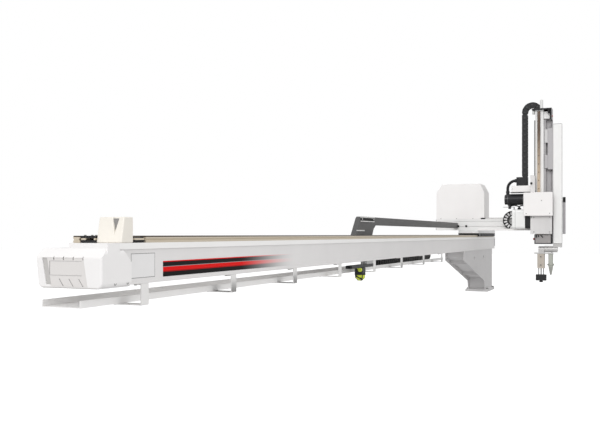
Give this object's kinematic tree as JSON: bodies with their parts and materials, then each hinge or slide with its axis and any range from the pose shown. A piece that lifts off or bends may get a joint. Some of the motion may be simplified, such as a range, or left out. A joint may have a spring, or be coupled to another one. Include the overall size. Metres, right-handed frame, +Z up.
{
  "type": "take-out robot for an injection moulding machine",
  "caption": "Traverse take-out robot: long beam on a welded foot, sliding carriage, crosswise beam and telescopic vertical arm with a turning gripping head.",
  "frame": {"origin": "centre of the foot's four bolt holes, on the base plate's underside", "axes": "+X along the traverse beam towards its foot end, -Y towards the side that the vertical arm hangs on, +Z up"},
  "size_m": [5.318, 0.976, 1.445],
  "materials": {
    "painted_steel": "satin light grey powder coat",
    "beam_aluminium": "clear anodised extrusion",
    "white_moulding": "smooth white moulding",
    "guide_steel": "ground guide steel",
    "black_steel": "black oxide or black paint",
    "belt_rubber": "black polyurethane belt",
    "bright_aluminium": "machined and anodised",
    "chain_plastic": "black moulded links",
    "tray_steel": "light grey sheet",
    "hanger_steel": "grey-green sheet",
    "regulator_plastic": "black body with a lime yellow bowl",
    "knob_plastic": "fine grained black",
    "dark_grey_duct": "dark grey sheet",
    "white_sheet": "white powder coat",
    "servo_case": "white enamel",
    "dark_motor": "black enamel",
    "hose_rubber": "black corrugated conduit",
    "cylinder_bronze": "tan hard anodised",
    "rod_steel": "polished",
    "gripper_grey": "grey-green anodised",
    "jaw_steel": "blackened tips"
  },
  "bodies": {
    "base": {"base_plate": "painted_steel", "foot_gussets": "painted_steel", "foot_skin": "painted_steel", "foot_plates": "painted_steel", "traverse_beam": "beam_aluminium", "beam_end_plate": "black_steel", "end_cover": "white_moulding", "entry_cover": "white_moulding", "guide_rails": "guide_steel", "end_stops": "black_steel", "traverse_belt": "belt_rubber", "cable_tray": "tray_steel", "tray_hangers": "hanger_steel", "air_regulator": "regulator_plastic"},
    "knob": {"regulator_knob": "knob_plastic"},
    "traverse_chain": {"traverse_chain_bend": "chain_plastic", "traverse_chain_lower_run": "chain_plastic", "traverse_chain_upper_run": "chain_plastic"},
    "carriage": {"traverse_blocks": "black_steel", "carriage_plate": "bright_aluminium", "traverse_drive": "dark_motor", "cover_box": "white_sheet", "cross_beam": "bright_aluminium", "cross_rails": "guide_steel", "chain_shelf": "white_sheet", "cable_arm": "dark_grey_duct"},
    "cross_chain": {"cross_chain_bend": "chain_plastic", "cross_chain_lower_run": "chain_plastic", "cross_chain_upper_run": "chain_plastic"},
    "saddle": {"saddle_bracket": "bright_aluminium", "saddle_side": "bright_aluminium", "saddle_front": "bright_aluminium", "saddle_cover": "white_sheet", "saddle_blocks": "black_steel", "arm_servo": "servo_case", "cross_motor": "dark_motor", "equipment_shelf": "black_steel", "valve_unit": "white_sheet", "motor_hose": "hose_rubber", "arm_chain_saddle_run": "chain_plastic"},
    "arm_chain": {"arm_chain_bend": "chain_plastic", "arm_chain_stage_run": "chain_plastic"},
    "stage": {"stage_profile": "beam_aluminium", "stage_web": "bright_aluminium", "stage_rails": "guide_steel", "top_bracket": "black_steel", "bottom_frame": "black_steel", "stage_belt": "belt_rubber"},
    "pulley_low": {"pulley_low": "bright_aluminium"},
    "pulley_high": {"pulley_high": "bright_aluminium"},
    "outer": {"outer_profile": "beam_aluminium", "slide_carriage": "bright_aluminium", "wrist_bracket": "bright_aluminium"},
    "head": {"head_plate": "bright_aluminium", "product_cylinder": "cylinder_bronze", "sprue_gripper": "gripper_grey"},
    "product_slide": {"product_slide": "rod_steel"},
    "jaw_left": {"jaw_left": "jaw_steel"},
    "jaw_right": {"jaw_right": "jaw_steel"}
  },
  "joints": [
    {"name": "traverse_slide", "type": "slide", "parent": "base", "child": "carriage", "axis": [1, 0, 0], "range_m": [-2, 0]},
    {"name": "traverse_chain_slide", "type": "slide", "parent": "base", "child": "traverse_chain", "axis": [1, 0, 0], "range_m": [-1, 0]},
    {"name": "regulator_turn", "type": "hinge", "parent": "base", "child": "knob", "pos_m": [-3.1695, -0.053, 0.305], "axis": [1, 0, 0], "range_deg": [-135, 135]},
    {"name": "cross_slide", "type": "slide", "parent": "carriage", "child": "saddle", "axis": [0, 1, 0], "range_m": [0, 0.33]},
    {"name": "cross_chain_slide", "type": "slide", "parent": "carriage", "child": "cross_chain", "axis": [0, 1, 0], "range_m": [0, 0.165]},
    {"name": "arm_lower", "type": "slide", "parent": "saddle", "child": "stage", "axis": [0, 0, 1], "range_m": [-0.5, 0], "deforming": ["arm_chain_saddle_run"]},
    {"name": "arm_chain_slide", "type": "slide", "parent": "saddle", "child": "arm_chain", "axis": [0, 0, 1], "range_m": [-0.25, 0]},
    {"name": "arm_upper", "type": "slide", "parent": "stage", "child": "outer", "axis": [0, 0, 1], "range_m": [-0.5, 0]},
    {"name": "pulley_low_turn", "type": "hinge", "parent": "stage", "child": "pulley_low", "pos_m": [-0.603, -0.604, 0.441], "axis": [1, 0, 0], "continuous": true},
    {"name": "pulley_high_turn", "type": "hinge", "parent": "stage", "child": "pulley_high", "pos_m": [-0.603, -0.604, 1.339], "axis": [1, 0, 0], "continuous": true},
    {"name": "wrist_turn", "type": "hinge", "parent": "outer", "child": "head", "pos_m": [-0.625, -0.578, 0.359], "axis": [0, 1, 0], "range_deg": [0, 90]},
    {"name": "product_stroke", "type": "slide", "parent": "head", "child": "product_slide", "axis": [0, 0, 1], "range_m": [0, 0.04]},
    {"name": "jaw_left_turn", "type": "hinge", "parent": "head", "child": "jaw_left", "pos_m": [-0.625, -0.6145, 0.233], "axis": [1, 0, 0], "range_deg": [0, 12]},
    {"name": "jaw_right_turn", "type": "hinge", "parent": "head", "child": "jaw_right", "pos_m": [-0.625, -0.6295, 0.233], "axis": [1, 0, 0], "range_deg": [-12, 0]}
  ],
  "couplings": [
    {"joint": "traverse_chain_slide", "follows": "traverse_slide", "ratio": 0.5},
    {"joint": "cross_chain_slide", "follows": "cross_slide", "ratio": 0.5},
    {"joint": "arm_upper", "follows": "arm_lower", "ratio": 1},
    {"joint": "arm_chain_slide", "follows": "arm_lower", "ratio": 0.5},
    {"joint": "pulley_low_turn", "follows": "arm_lower", "rad_per_m": -50},
    {"joint": "pulley_high_turn", "follows": "arm_lower", "rad_per_m": -50},
    {"joint": "jaw_right_turn", "follows": "jaw_left_turn", "ratio": -1}
  ]
}
